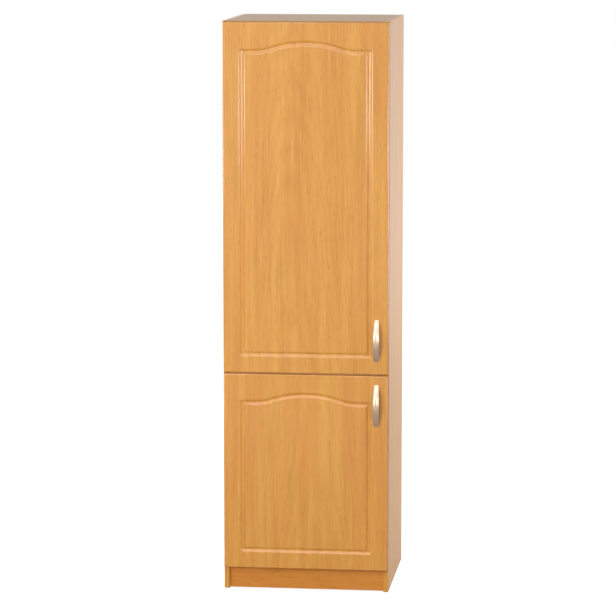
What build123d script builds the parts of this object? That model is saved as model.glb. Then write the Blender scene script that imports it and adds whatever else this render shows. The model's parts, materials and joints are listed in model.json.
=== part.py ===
"""Tall kitchen cabinet: board carcass, two framed doors on concealed hinges, bow handles.

Millimetres. X runs to the right, Y to the back, Z up. The origin is the bottom centre of the whole box.
"""
from build123d import *
from math import atan, cos, degrees, sin, sqrt
import os

# Carcass boards
cabinet_width = 600.0
cabinet_height = 2070.0
side_depth = 550.0
board = 18.0
plinth_height = 85.0
plinth_floor_gap = 5.0
plinth_recess = 12.0
plinth_thickness = 16.0
glue_block = 22.0
glue_block_height = 62.0
board_edge_radius = 0.8

# Back panels, held in saw-cut grooves, and the strip that joins them
back_thickness = 3.0
back_inset = 12.0
back_groove_depth = 8.0
back_groove_play = 0.2
back_end_play = 1.0
strip_flange = 1.0
strip_flange_height = 16.0
strip_web = 1.2

# Doors
lower_door_height = 716.0
door_split_gap = 5.0
door_top_reveal = 3.0
door_side_reveal = 1.5
door_thickness = 18.0
door_gap = 2.5
door_edge_radius = 3.0

# Routed frame on the door fronts
frame_width = 56.5
frame_shoulder = 92.0
groove_width = 25.0
groove_depth = 4.4
groove_lip = 0.8
groove_shoulder_radius = 7.0
cutter_clear = 1.0
arch_half_width = 184.0
arch_rise = 30.0
arch_foot_radius = 185.0

# Bow handles
handle_length = 153.0
handle_hole_spacing = 128.0
handle_projection = 28.0
handle_thickness = 5.5
handle_foot_length = 15.0
handle_mid_width = 22.5
handle_end_width = 18.0
handle_edge_radius = 2.0
handle_from_edge = 41.5
upper_handle_from_end = 46.0
lower_handle_from_end = 32.0
handle_screw_radius = 2.0
handle_screw_grip = 4.5

# Shelves and their pins
shelf_thickness = 18.0
shelf_side_play = 1.0
shelf_back_play = 3.0
shelf_front_setback = 30.0
upper_shelf_count = 4
pin_radius = 2.5
pin_depth = 10.0
pin_reach = 8.0
pin_width = 9.0
pin_plate = 2.0
pin_from_front = 60.0
pin_from_back = 90.0

# Glued carcass joints: wood dowels, two to each board end
dowel_radius = 4.0
dowel_length = 30.0
dowel_in_side = 11.0
dowel_from_front = 80.0
dowel_from_back = 90.0

# Feet and wall brackets
glide_height = 3.0
glide_radius = 8.0
glide_from_end = 32.0
bracket_leg = 40.0
bracket_width = 30.0
bracket_thickness = 2.5
bracket_spacing = 440.0
bracket_hole_radius = 4.0
bracket_hole_drop = 25.0
bracket_screw_from_heel = 26.0
bracket_screw_spacing = 16.0
back_hole_extra = 0.5

# Concealed hinges. Plan points are measured right from the outer face of the left side panel
# and back from the front edge of the carcass.
hinge_from_end = 100.0
arm_pivot = (38.0, 3.0)
cup_pivot = (13.5, -6.2)
link_bend = (22.1, -8.35)
pivot_radius = 1.5
link_half_width = 2.5
link_half_height = 4.0
cup_centre_from_edge = 22.5
cup_radius = 17.5
cup_wall = 1.4
cup_floor = 1.0
cup_inner_depth = 12.0
cup_flange = 1.0
cup_flange_radius = 19.5
cup_screw_back = 9.5
cup_screw_spacing = 45.0
cup_ear_radius = 5.5
arm_half_height = 6.5
arm_cheek = 1.2
arm_nose_radius = 3.5
arm_neck_end = 14.0
arm_slope_end = 26.0
arm_length = 62.0
arm_crank = 7.0
arm_foot_width = 6.0
plate_from_front = 37.0
plate_thickness = 3.0
plate_width = 20.0
plate_height = 54.0
plate_screw_spacing = 32.0
plate_block_length = 26.0
arm_screw_from_front = 44.0

# Small screws. Their shanks, the dowels and the pegs of the shelf pins are hidden, so they are six-sided.
screw_radius = 2.0
screw_length = 12.0
screw_head_radius = 3.6
screw_head_height = 1.6
shank_sides = 6
head_sides = 12

# Door bumpers
bumper_radius = 4.5
bumper_clear = 0.3
bumper_from_end = 40.0

# Fits between pieces of one body
fit = 0.05
hole_end_play = 1.0
running_fit = 0.05

# Places that follow from the sizes above
half_width = cabinet_width / 2
inner_half = half_width - board
overall_depth = handle_projection + door_thickness + door_gap + side_depth
door_front_y = handle_projection - overall_depth / 2
door_back_y = door_front_y + door_thickness
carcass_front_y = door_back_y + door_gap
carcass_back_y = carcass_front_y + side_depth
back_rear_y = carcass_back_y - back_inset
back_front_y = back_rear_y - back_thickness
bottom_top_z = plinth_height + board
top_under_z = cabinet_height - board
split_z = plinth_height + lower_door_height + door_split_gap / 2
lower_door_z = (plinth_height, plinth_height + lower_door_height)
upper_door_z = (split_z + door_split_gap / 2, cabinet_height - door_top_reveal)
door_half_width = half_width - door_side_reveal
handle_x = door_half_width - handle_from_edge
upper_handle_z = upper_door_z[0] + upper_handle_from_end + handle_length / 2
lower_handle_z = lower_door_z[1] - lower_handle_from_end - handle_length / 2
middle_back_y = back_front_y - strip_flange - back_groove_play - hole_end_play
shelf_front_y = carcass_front_y + shelf_front_setback
shelf_back_y = back_front_y - shelf_back_play
pin_rows_y = (carcass_front_y + pin_from_front, carcass_back_y - pin_from_back)
dowel_rows_y = (carcass_front_y + dowel_from_front, carcass_back_y - dowel_from_back)
joint_z = (plinth_height + board / 2, split_z, cabinet_height - board / 2)


def shelf_levels(low, high, count):
    """Undersides of shelves that share out the height between two boards evenly."""
    space = (high - low - count * shelf_thickness) / (count + 1)
    return [low + space + step * (space + shelf_thickness) for step in range(count)]


lower_shelf_z = shelf_levels(bottom_top_z, split_z - board / 2, 1)
upper_shelf_z = shelf_levels(split_z + board / 2, top_under_z, upper_shelf_count)
shelf_z = lower_shelf_z + upper_shelf_z


def hinge_levels(door_z, count):
    """Heights of a door's hinges, the end ones at a fixed distance from the door's ends."""
    low = door_z[0] + hinge_from_end
    high = door_z[1] - hinge_from_end
    return [low + (high - low) * step / (count - 1) for step in range(count)]


upper_hinge_z = hinge_levels(upper_door_z, 3)
lower_hinge_z = hinge_levels(lower_door_z, 2)
hinge_z = upper_hinge_z + lower_hinge_z


def plan(point):
    """X and Y of a hinge plan point."""
    return (point[0] - half_width, carcass_front_y + point[1])


os.makedirs("parts", exist_ok=True)


def save(builder, name):
    """Label a finished piece and write its file."""
    builder.part.label = name
    export_step(builder.part, f"parts/{name}.step")


def side_face(side):
    """Inner face of a side panel, -1 left and +1 right, looking out of the board; local Y is Z."""
    return Plane(origin=(side * inner_half, 0, 0), x_dir=(0, -side, 0), z_dir=(-side, 0, 0))


def on_side(side, points):
    """Points given as Y and Z, in the local axes of a side panel's inner face."""
    return [(-side * y, z) for y, z in points]


def spots(plane, points):
    """Places on a plane, for holes that run into the board behind it."""
    return [Plane(plane * Location((*point, 0))) for point in points]


plate_y = carcass_front_y + plate_from_front


def plate_screw_points(levels):
    """Y and Z of the two screws of each hinge plate."""
    return [(plate_y, z + step * plate_screw_spacing / 2) for z in levels for step in (-1, 1)]


# Side panels, with the drilling for joints, shelf pins and hinge plates
def side_panel(side, plate_levels):
    middle_y = (carcass_front_y + carcass_back_y) / 2
    panel_height = cabinet_height - glide_height
    face = side_face(side)
    with BuildPart() as panel:
        with BuildSketch(face):
            with Locations(on_side(side, [(middle_y, glide_height + panel_height / 2)])[0]):
                Rectangle(side_depth, panel_height)
        extrude(amount=-board)
        fillet(panel.faces().sort_by(Axis.Y)[0].edges().filter_by(Axis.Z), board_edge_radius)
        groove_y = (back_rear_y + back_front_y) / 2
        with BuildSketch(face):
            with Locations(on_side(side, [(groove_y, glide_height + panel_height / 2)])[0]):
                Rectangle(back_thickness + 2 * back_groove_play, panel_height)
        extrude(amount=-back_groove_depth, mode=Mode.SUBTRACT)
        with BuildSketch(face):
            with Locations(*on_side(side, [(y, z) for y in dowel_rows_y for z in joint_z])):
                RegularPolygon(dowel_radius + fit, shank_sides)
        extrude(amount=-dowel_in_side - hole_end_play, mode=Mode.SUBTRACT)
        pin_z = [z - pin_plate - pin_radius for z in shelf_z]
        with BuildSketch(face):
            with Locations(*on_side(side, [(y, z) for y in pin_rows_y for z in pin_z])):
                RegularPolygon(pin_radius + fit, shank_sides)
        extrude(amount=-pin_depth - hole_end_play, mode=Mode.SUBTRACT)
        if plate_levels:
            with BuildSketch(face):
                with Locations(*on_side(side, plate_screw_points(plate_levels))):
                    RegularPolygon(screw_radius + fit, shank_sides)
            extrude(amount=plate_thickness - screw_length - hole_end_play, mode=Mode.SUBTRACT)
    return panel


left_side_panel = side_panel(-1, hinge_z)
save(left_side_panel, "left_side_panel")
right_side_panel = side_panel(1, [])
save(right_side_panel, "right_side_panel")


# Boards that stand between the sides: each end takes dowels
def cross_board(under_z, back_y, groove_side, screw_points):
    depth = back_y - carcass_front_y
    with BuildPart() as cross:
        with BuildSketch(Plane.XY.offset(under_z)):
            with Locations((0, (carcass_front_y + back_y) / 2)):
                Rectangle(2 * inner_half, depth)
        extrude(amount=board)
        fillet(cross.faces().sort_by(Axis.Y)[0].edges().filter_by(Axis.X), board_edge_radius)
        if groove_side:
            groove_z = under_z + board if groove_side > 0 else under_z
            with BuildSketch(Plane.XY.offset(groove_z)):
                with Locations((0, (back_rear_y + back_front_y) / 2)):
                    Rectangle(2 * inner_half, back_thickness + 2 * back_groove_play)
            extrude(amount=-groove_side * back_groove_depth, mode=Mode.SUBTRACT)
        for side in (-1, 1):
            end = Plane(
                origin=(side * inner_half, 0, under_z + board / 2), x_dir=(0, side, 0), z_dir=(side, 0, 0)
            )
            with BuildSketch(end):
                with Locations(*[(side * y, 0) for y in dowel_rows_y]):
                    RegularPolygon(dowel_radius + fit, shank_sides)
            extrude(amount=dowel_in_side - dowel_length - hole_end_play, mode=Mode.SUBTRACT)
        if screw_points:
            under = Plane(origin=(0, 0, under_z), x_dir=(1, 0, 0), z_dir=(0, 0, -1))
            with BuildSketch(under):
                with Locations(*[(x, -y) for x, y in screw_points]):
                    RegularPolygon(screw_radius + fit, shank_sides)
            extrude(amount=bracket_thickness - screw_length - hole_end_play, mode=Mode.SUBTRACT)
    return cross


bracket_x = (-bracket_spacing / 2, bracket_spacing / 2)
bracket_screws = [
    (x + step * bracket_screw_spacing / 2, back_front_y - bracket_screw_from_heel)
    for x in bracket_x
    for step in (-1, 1)
]

bottom_panel = cross_board(plinth_height, carcass_back_y, 1, [])
save(bottom_panel, "bottom_panel")
middle_shelf = cross_board(split_z - board / 2, middle_back_y, 0, [])
save(middle_shelf, "middle_shelf")
top_panel = cross_board(top_under_z, carcass_back_y, -1, bracket_screws)
save(top_panel, "top_panel")


# Back panels and their joining strip
back_half_width = inner_half + back_groove_depth - back_end_play
back_reach = back_groove_depth - back_end_play
bracket_hole_z = top_under_z - bracket_hole_drop


def back_panel(low, high, hole_points):
    with BuildPart() as back:
        with BuildSketch(Plane.XZ.offset(-back_front_y)):
            with Locations((0, (low + high) / 2)):
                Rectangle(2 * back_half_width, high - low)
            if hole_points:
                with Locations(*hole_points):
                    Circle(bracket_hole_radius + back_hole_extra, mode=Mode.SUBTRACT)
        extrude(amount=-back_thickness)
    return back


lower_back_panel = back_panel(bottom_top_z - back_reach, split_z - strip_web / 2, [])
save(lower_back_panel, "lower_back_panel")
upper_back_panel = back_panel(
    split_z + strip_web / 2, top_under_z + back_reach, [(x, bracket_hole_z) for x in bracket_x]
)
save(upper_back_panel, "upper_back_panel")

with BuildPart() as back_joining_strip:
    with BuildSketch(Plane.YZ.offset(-inner_half)):
        with Locations(((back_rear_y + back_front_y) / 2, split_z)):
            slot = back_thickness + 2 * back_groove_play
            Rectangle(slot + 2 * strip_flange, strip_flange_height)
            Rectangle(slot, strip_flange_height, mode=Mode.SUBTRACT)
            Rectangle(slot, strip_web)
    extrude(amount=2 * inner_half)
save(back_joining_strip, "back_joining_strip")

# Plinth board and the glue blocks behind it
plinth_y = carcass_front_y + plinth_recess
with BuildPart() as plinth_board:
    with BuildSketch(Plane.XY.offset(plinth_floor_gap)):
        with Locations((0, plinth_y + plinth_thickness / 2)):
            Rectangle(2 * inner_half, plinth_thickness)
    extrude(amount=plinth_height - plinth_floor_gap)
    fillet(plinth_board.faces().sort_by(Axis.Y)[0].edges().filter_by(Axis.X), board_edge_radius)
save(plinth_board, "plinth_board")

with BuildPart() as plinth_glue_blocks:
    with BuildSketch(Plane.XY.offset(plinth_height)):
        block_y = plinth_y + plinth_thickness
        for side in (-1, 1):
            with BuildLine():
                corner = (side * inner_half, block_y)
                Polyline(
                    corner,
                    (side * (inner_half - glue_block), block_y),
                    (side * inner_half, block_y + glue_block),
                    close=True,
                )
            make_face()
    extrude(amount=-glue_block_height)
save(plinth_glue_blocks, "plinth_glue_blocks")


# Adjustable shelves and their pins
def loose_shelf(under_z):
    with BuildPart() as shelf:
        with BuildSketch(Plane.XY.offset(under_z)):
            with Locations((0, (shelf_front_y + shelf_back_y) / 2)):
                Rectangle(2 * (inner_half - shelf_side_play), shelf_back_y - shelf_front_y)
        extrude(amount=shelf_thickness)
        fillet(shelf.faces().sort_by(Axis.Y)[0].edges().filter_by(Axis.X), board_edge_radius)
    return shelf


lower_shelf = loose_shelf(lower_shelf_z[0])
save(lower_shelf, "lower_shelf")
for number, level in enumerate(upper_shelf_z, start=1):
    save(loose_shelf(level), f"upper_shelf_{number}")

with BuildPart() as shelf_pins:
    for side in (-1, 1):
        for y in pin_rows_y:
            for level in shelf_z:
                axis_z = level - pin_plate - pin_radius
                with BuildSketch(side_face(side)):
                    with Locations(on_side(side, [(y, axis_z)])[0]):
                        RegularPolygon(pin_radius, shank_sides)
                extrude(amount=-pin_depth)
                with BuildSketch(Plane.XZ.offset(-y)):
                    with BuildLine():
                        wall_x = side * inner_half
                        tip_x = wall_x - side * pin_reach
                        Polyline(
                            (wall_x, level),
                            (tip_x, level),
                            (tip_x, level - pin_plate),
                            (wall_x, axis_z - pin_radius),
                            close=True,
                        )
                    make_face()
                extrude(amount=pin_width / 2, both=True)
save(shelf_pins, "shelf_pins")

# Dowels
with BuildPart() as wood_dowels:
    for side in (-1, 1):
        with BuildSketch(side_face(side).offset(dowel_length - dowel_in_side)):
            with Locations(*on_side(side, [(y, z) for y in dowel_rows_y for z in joint_z])):
                RegularPolygon(dowel_radius, shank_sides)
        extrude(amount=-dowel_length)
save(wood_dowels, "wood_dowels")

# Floor glides, stuck under the side panels
glide_rows_y = (carcass_front_y + glide_from_end, carcass_back_y - glide_from_end)
with BuildPart() as floor_glides:
    with BuildSketch(Plane.XY):
        with Locations(*[(side * (half_width - board / 2), y) for side in (-1, 1) for y in glide_rows_y]):
            Circle(glide_radius)
    extrude(amount=glide_height)
save(floor_glides, "floor_glides")

# Wall brackets under the top panel, against the upper back panel
with BuildPart() as wall_brackets:
    for x in bracket_x:
        with BuildSketch(Plane.YZ.offset(x)):
            with BuildLine():
                Polyline(
                    (back_front_y, top_under_z),
                    (back_front_y, top_under_z - bracket_leg),
                    (back_front_y - bracket_thickness, top_under_z - bracket_leg),
                    (back_front_y - bracket_thickness, top_under_z - bracket_thickness),
                    (back_front_y - bracket_leg, top_under_z - bracket_thickness),
                    (back_front_y - bracket_leg, top_under_z),
                    close=True,
                )
            make_face()
        extrude(amount=bracket_width / 2, both=True)
    front = Plane.XZ.offset(bracket_thickness - back_front_y)
    with Locations(*spots(front, [(x, bracket_hole_z) for x in bracket_x])):
        Hole(bracket_hole_radius, bracket_thickness)
    under = Plane(origin=(0, 0, top_under_z - bracket_thickness), x_dir=(1, 0, 0), z_dir=(0, 0, -1))
    with BuildSketch(under):
        with Locations(*[(x, -y) for x, y in bracket_screws]):
            RegularPolygon(screw_radius + fit, shank_sides)
    extrude(amount=-bracket_thickness, mode=Mode.SUBTRACT)
save(wall_brackets, "wall_brackets")


def small_screws(seats):
    """Pan-head screws; each seat is a plane on the face under the head, looking away from the board."""
    with BuildPart() as screws:
        for seat in seats:
            with BuildSketch(seat):
                RegularPolygon(screw_head_radius, head_sides)
            extrude(amount=screw_head_height)
            with BuildSketch(seat):
                RegularPolygon(screw_radius, shank_sides)
            extrude(amount=-screw_length)
    return screws


bracket_screw_seats = [
    Plane(origin=(x, y, top_under_z - bracket_thickness), x_dir=(1, 0, 0), z_dir=(0, 0, -1))
    for x, y in bracket_screws
]
save(small_screws(bracket_screw_seats), "wall_bracket_screws")

# Hinge plates on the left side panel
arm_web_x = plan(arm_pivot)[0] + arm_nose_radius
arm_seat_x = arm_web_x - arm_crank - arm_cheek
plate_block_half = arm_half_height - arm_cheek - fit


def hinge_plate(z):
    wall = side_face(-1)
    with BuildPart() as plate:
        with BuildSketch(wall):
            with Locations((plate_y, z)):
                RectangleRounded(plate_width, plate_height, plate_width / 3)
        extrude(amount=plate_thickness)
        with BuildSketch(wall):
            with Locations((plate_y, z)):
                Rectangle(plate_block_length, 2 * plate_block_half)
        extrude(amount=arm_seat_x + inner_half)
        with BuildSketch(wall.offset(plate_thickness)):
            with Locations(*plate_screw_points([z])):
                RegularPolygon(screw_radius + fit, shank_sides)
        extrude(amount=-plate_thickness, mode=Mode.SUBTRACT)
        with BuildSketch(wall.offset(arm_seat_x + inner_half)):
            with Locations((carcass_front_y + arm_screw_from_front, z)):
                RegularPolygon(screw_radius + fit, shank_sides)
        extrude(amount=-screw_length, mode=Mode.SUBTRACT)
    return plate


# Cranked hinge arms: channels that clip over the plates and end in a fork with its pin riveted in
def hinge_arm(z):
    nose = plan(arm_pivot)
    neck_y = carcass_front_y + arm_neck_end
    slope_y = carcass_front_y + arm_slope_end
    rear_y = carcass_front_y + arm_length
    low_x = arm_web_x - arm_crank
    nose_low_x = arm_web_x - 2 * arm_nose_radius
    foot_x = low_x - arm_foot_width
    outline = [
        (arm_web_x, nose[1]),
        (arm_web_x, neck_y),
        (low_x, slope_y),
        (low_x, rear_y),
        (foot_x, rear_y),
        (foot_x, slope_y),
        (nose_low_x, neck_y),
        (nose_low_x, nose[1]),
    ]
    channel_x = half_width - board
    channel = [
        (arm_web_x - arm_cheek, neck_y),
        (low_x - arm_cheek, slope_y),
        (low_x - arm_cheek, rear_y + arm_cheek),
        (-channel_x, rear_y + arm_cheek),
        (-channel_x, nose[1] - 2 * arm_nose_radius),
        (arm_web_x + arm_cheek, nose[1] - 2 * arm_nose_radius),
        (arm_web_x + arm_cheek, nose[1] + arm_nose_radius),
        (arm_web_x - arm_cheek, nose[1] + arm_nose_radius),
    ]
    level = Plane.XY.offset(z)
    with BuildPart() as arm:
        with BuildSketch(level):
            with BuildLine():
                Polyline(*outline, close=True)
            make_face()
            with Locations(nose):
                Circle(arm_nose_radius)
        extrude(amount=arm_half_height, both=True)
        with BuildSketch(level):
            with BuildLine():
                Polyline(*channel, close=True)
            make_face()
        extrude(amount=arm_half_height - arm_cheek, both=True, mode=Mode.SUBTRACT)
        with BuildSketch(level):
            with Locations(nose):
                Circle(pivot_radius)
        extrude(amount=arm_half_height, both=True)
        with BuildSketch(side_face(-1).offset(low_x + inner_half)):
            with Locations((carcass_front_y + arm_screw_from_front, z)):
                RegularPolygon(screw_radius + fit, shank_sides)
        extrude(amount=-arm_cheek, mode=Mode.SUBTRACT)
    return arm


# Links between arm and cup, bent to pass the rim of the cup
def hinge_link(z):
    with BuildPart() as link:
        with BuildSketch(Plane.XY.offset(z)):
            with BuildLine():
                Polyline(plan(arm_pivot), plan(link_bend), plan(cup_pivot))
            trace(line_width=2 * link_half_width)
            with Locations(plan(arm_pivot), plan(link_bend), plan(cup_pivot)):
                Circle(link_half_width)
            with Locations(plan(arm_pivot), plan(cup_pivot)):
                Circle(pivot_radius + running_fit, mode=Mode.SUBTRACT)
        extrude(amount=link_half_height, both=True)
    return link


# Hinge cups, let into the back of the door, each with its pin riveted in
cup_x = door_side_reveal + cup_centre_from_edge - half_width
cup_ear_x = cup_x + cup_screw_back
door_back = Plane(origin=(0, door_back_y, 0), x_dir=(-1, 0, 0), z_dir=(0, 1, 0))
cup_outer_depth = cup_inner_depth + cup_floor
cup_ear_rise = cup_screw_spacing / 2
pin_off_centre = cup_x - plan(cup_pivot)[0]
cup_pin_half = sqrt((cup_radius - fit) ** 2 - (pin_off_centre + pivot_radius) ** 2) - fit


def cup_screw_points(z):
    """Door-back points of the two screws of one cup."""
    return [(-cup_ear_x, z + step * cup_ear_rise) for step in (-1, 1)]


def hinge_cup(z):
    pivot = plan(cup_pivot)
    with BuildPart() as cup:
        with BuildSketch(door_back):
            with Locations((-cup_x, z)):
                Circle(cup_flange_radius)
            with Locations(*cup_screw_points(z)):
                Circle(cup_ear_radius)
            make_hull()
        extrude(amount=cup_flange)
        with BuildSketch(door_back):
            with Locations((-cup_x, z)):
                Circle(cup_radius - fit)
        extrude(amount=-cup_outer_depth)
        with BuildSketch(door_back.offset(cup_flange)):
            with Locations((-cup_x, z)):
                Circle(cup_radius - fit - cup_wall)
        extrude(amount=-cup_flange - cup_inner_depth, mode=Mode.SUBTRACT)
        with BuildSketch(door_back.offset(cup_flange)):
            with Locations(*cup_screw_points(z)):
                RegularPolygon(screw_radius + fit, shank_sides)
        extrude(amount=-cup_flange, mode=Mode.SUBTRACT)
        with BuildSketch(Plane.XY.offset(z)):
            with Locations(pivot):
                Circle(pivot_radius)
        extrude(amount=cup_pin_half, both=True)
    return cup


for door, levels in (("upper", upper_hinge_z), ("lower", lower_hinge_z)):
    for number, level in enumerate(levels, start=1):
        save(hinge_plate(level), f"{door}_hinge_plate_{number}")
        save(hinge_arm(level), f"{door}_hinge_arm_{number}")
        save(hinge_link(level), f"{door}_hinge_link_{number}")
        save(hinge_cup(level), f"{door}_hinge_cup_{number}")
    cup_screws = [point for level in levels for point in cup_screw_points(level)]
    save(small_screws(spots(door_back.offset(cup_flange), cup_screws)), f"{door}_cup_screws")

plate_seats = spots(side_face(-1).offset(plate_thickness), plate_screw_points(hinge_z))
save(small_screws(plate_seats), "hinge_plate_screws")
arm_outer_face = side_face(-1).offset(arm_seat_x + arm_cheek + inner_half)
arm_screws = [(carcass_front_y + arm_screw_from_front, level) for level in hinge_z]
save(small_screws(spots(arm_outer_face, arm_screws)), "hinge_arm_screws")


# Doors: wrapped boards with a routed groove that frames the field and arches at the top
def door_panel(door_z, levels, handle_z):
    front = Plane.XZ.offset(-door_front_y)
    inset = frame_width + groove_width / 2
    side_x = door_half_width - inset
    low_z = door_z[0] + inset
    shoulder_z = door_z[1] - frame_shoulder - groove_width / 2
    arch_turn = 2 * atan(arch_rise / arch_half_width)
    crown_radius = arch_half_width / sin(arch_turn) - arch_foot_radius
    turn = degrees(arch_turn)
    half_groove = groove_width / 2
    ogee_turn = 2 * atan((groove_depth - groove_lip) / half_groove)
    ogee_drop = groove_shoulder_radius * (1 - cos(ogee_turn))
    ogee_mid = (half_groove - groove_shoulder_radius * sin(ogee_turn), -groove_lip - ogee_drop)
    with BuildPart() as door:
        with BuildSketch(front):
            with Locations((0, (door_z[0] + door_z[1]) / 2)):
                Rectangle(2 * door_half_width, door_z[1] - door_z[0])
        extrude(amount=-door_thickness)
        fillet(door.faces().sort_by(Axis.Y)[0].edges(), door_edge_radius)
        with BuildLine(front) as cutter_path:
            Polyline((0, low_z), (side_x, low_z), (side_x, shoulder_z), (arch_half_width, shoulder_z))
            foot = JernArc((arch_half_width, shoulder_z), (-1, 0), arch_foot_radius, -turn)
            crown = JernArc(foot @ 1, foot % 1, crown_radius, 2 * turn)
            JernArc(crown @ 1, crown % 1, arch_foot_radius, -turn)
            Polyline((-arch_half_width, shoulder_z), (-side_x, shoulder_z), (-side_x, low_z), (0, low_z))
        start = Plane(origin=(0, door_front_y, low_z), x_dir=(0, 0, 1), z_dir=(1, 0, 0))
        with BuildSketch(start):
            with BuildLine():
                for side in (-1, 1):
                    rim = (side * half_groove, -groove_lip)
                    middle = (side * ogee_mid[0], ogee_mid[1])
                    Line((side * half_groove, cutter_clear), rim)
                    shoulder = TangentArc(rim, middle, tangent=(-side, 0))
                    TangentArc(middle, (0, -groove_depth), tangent=shoulder % 1)
                Line((-half_groove, cutter_clear), (half_groove, cutter_clear))
            make_face()
        sweep(path=cutter_path.wire(), transition=Transition.ROUND, mode=Mode.SUBTRACT)
        with Locations(*spots(door_back, [(-cup_x, z) for z in levels])):
            Hole(cup_radius, cup_outer_depth + fit)
        with BuildSketch(door_back):
            with Locations(*[point for z in levels for point in cup_screw_points(z)]):
                RegularPolygon(screw_radius + fit, shank_sides)
        extrude(amount=cup_flange - screw_length - hole_end_play, mode=Mode.SUBTRACT)
        holes = [(-handle_x, handle_z + step * handle_hole_spacing / 2) for step in (-1, 1)]
        with BuildSketch(door_back):
            with Locations(*holes):
                RegularPolygon(handle_screw_radius + fit, shank_sides)
        extrude(amount=-door_thickness, mode=Mode.SUBTRACT)
    return door


# Bow handles: a flat strap between two arcs, wider at the middle, with rounded edges
def bow_handle(centre_z):
    half_length = handle_length / 2
    inner_half_length = half_length - handle_foot_length
    inner_rise = handle_projection - handle_thickness
    with BuildPart() as handle:
        with BuildSketch(Plane.YZ.offset(handle_x)):
            with BuildLine():
                outer = ThreePointArc(
                    (door_front_y, centre_z - half_length),
                    (door_front_y - handle_projection, centre_z),
                    (door_front_y, centre_z + half_length),
                )
                inner = ThreePointArc(
                    (door_front_y, centre_z - inner_half_length),
                    (door_front_y - inner_rise, centre_z),
                    (door_front_y, centre_z + inner_half_length),
                )
                Line(outer @ 0, inner @ 0)
                Line(outer @ 1, inner @ 1)
            make_face()
        extrude(amount=handle_mid_width, both=True)
        with BuildSketch(Plane.XZ.offset(-door_front_y)):
            with BuildLine():
                edges = []
                for side in (-1, 1):
                    end_x = handle_x + side * handle_end_width / 2
                    edges.append(
                        ThreePointArc(
                            (end_x, centre_z - half_length),
                            (handle_x + side * handle_mid_width / 2, centre_z),
                            (end_x, centre_z + half_length),
                        )
                    )
                Line(edges[0] @ 0, edges[1] @ 0)
                Line(edges[0] @ 1, edges[1] @ 1)
            make_face()
        extrude(amount=handle_projection, mode=Mode.INTERSECT)
        outer_face = handle.faces().sort_by(Axis.Y)[0]
        fillet(outer_face.edges().filter_by(GeomType.LINE, reverse=True), handle_edge_radius)
        foot_plane = Plane(origin=(0, door_front_y, 0), x_dir=(-1, 0, 0), z_dir=(0, 1, 0))
        points = [(-handle_x, centre_z + step * handle_hole_spacing / 2) for step in (-1, 1)]
        with BuildSketch(foot_plane):
            with Locations(*points):
                RegularPolygon(handle_screw_radius + fit, shank_sides)
        extrude(amount=-handle_screw_grip, mode=Mode.SUBTRACT)
    return handle


def handle_screws(centre_z):
    with BuildPart() as screws:
        points = [(-handle_x, centre_z + step * handle_hole_spacing / 2) for step in (-1, 1)]
        with BuildSketch(door_back):
            with Locations(*points):
                RegularPolygon(handle_screw_radius, shank_sides)
        extrude(amount=-door_thickness - handle_screw_grip)
        with BuildSketch(door_back):
            with Locations(*points):
                RegularPolygon(screw_head_radius, head_sides)
        extrude(amount=screw_head_height)
    return screws


def door_bumpers(door_z):
    with BuildPart() as bumpers:
        with BuildSketch(door_back):
            bumper_x = half_width - board / 2
            ends = (door_z[0] + bumper_from_end, door_z[1] - bumper_from_end)
            with Locations(*[(-bumper_x, z) for z in ends]):
                Circle(bumper_radius)
        extrude(amount=door_gap - bumper_clear)
    return bumpers


for name, door_z, levels, handle_z in (
    ("upper", upper_door_z, upper_hinge_z, upper_handle_z),
    ("lower", lower_door_z, lower_hinge_z, lower_handle_z),
):
    save(door_panel(door_z, levels, handle_z), f"{name}_door_panel")
    save(bow_handle(handle_z), f"{name}_handle")
    save(handle_screws(handle_z), f"{name}_handle_screws")
    save(door_bumpers(door_z), f"{name}_door_bumpers")
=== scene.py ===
"""Tall kitchen cabinet: looks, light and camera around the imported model."""
import json
import logging
import math
from dataclasses import dataclass, field
from enum import Enum
from typing import Any, Callable, Sequence

import bmesh
import bpy
from mathutils import Euler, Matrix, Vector


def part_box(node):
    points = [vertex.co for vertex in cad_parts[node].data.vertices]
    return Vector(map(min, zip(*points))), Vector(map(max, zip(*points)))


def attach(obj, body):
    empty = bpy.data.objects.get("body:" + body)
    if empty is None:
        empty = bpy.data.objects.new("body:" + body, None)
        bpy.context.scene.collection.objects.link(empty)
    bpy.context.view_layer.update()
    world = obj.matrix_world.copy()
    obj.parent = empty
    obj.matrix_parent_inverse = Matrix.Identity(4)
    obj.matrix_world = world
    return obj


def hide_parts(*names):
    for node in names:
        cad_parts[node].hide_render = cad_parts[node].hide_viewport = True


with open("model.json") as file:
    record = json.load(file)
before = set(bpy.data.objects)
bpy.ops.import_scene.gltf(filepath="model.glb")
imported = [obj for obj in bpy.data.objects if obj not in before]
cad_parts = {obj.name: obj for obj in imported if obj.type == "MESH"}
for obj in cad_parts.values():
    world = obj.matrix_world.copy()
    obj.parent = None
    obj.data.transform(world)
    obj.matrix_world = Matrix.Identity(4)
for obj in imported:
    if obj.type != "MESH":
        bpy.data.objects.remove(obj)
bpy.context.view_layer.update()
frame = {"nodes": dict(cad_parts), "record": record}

LOG = logging.getLogger("cabinet")
MM = 0.001
FRAME_PIXELS = 616
# Points closer than this are one point
WELD = 0.01 * MM
# A face with this much of its normal along an axis faces that way
FACING = 0.999
# Height of the fine relief in a finish
RELIEF = 0.2 * MM
# Faces before the first are the front edges of the carcass boards, faces behind the second their back edges
FRONT_EDGE_Y = -250.4 * MM
BACK_EDGE_Y = 298.9 * MM

Triple = tuple[float, float, float]
Colour = tuple[float, float, float, float]


class Axis(Enum):
    """Direction that a wood grain runs in, as an index of the frame's axes."""

    X = 0
    Y = 1
    Z = 2


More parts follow.
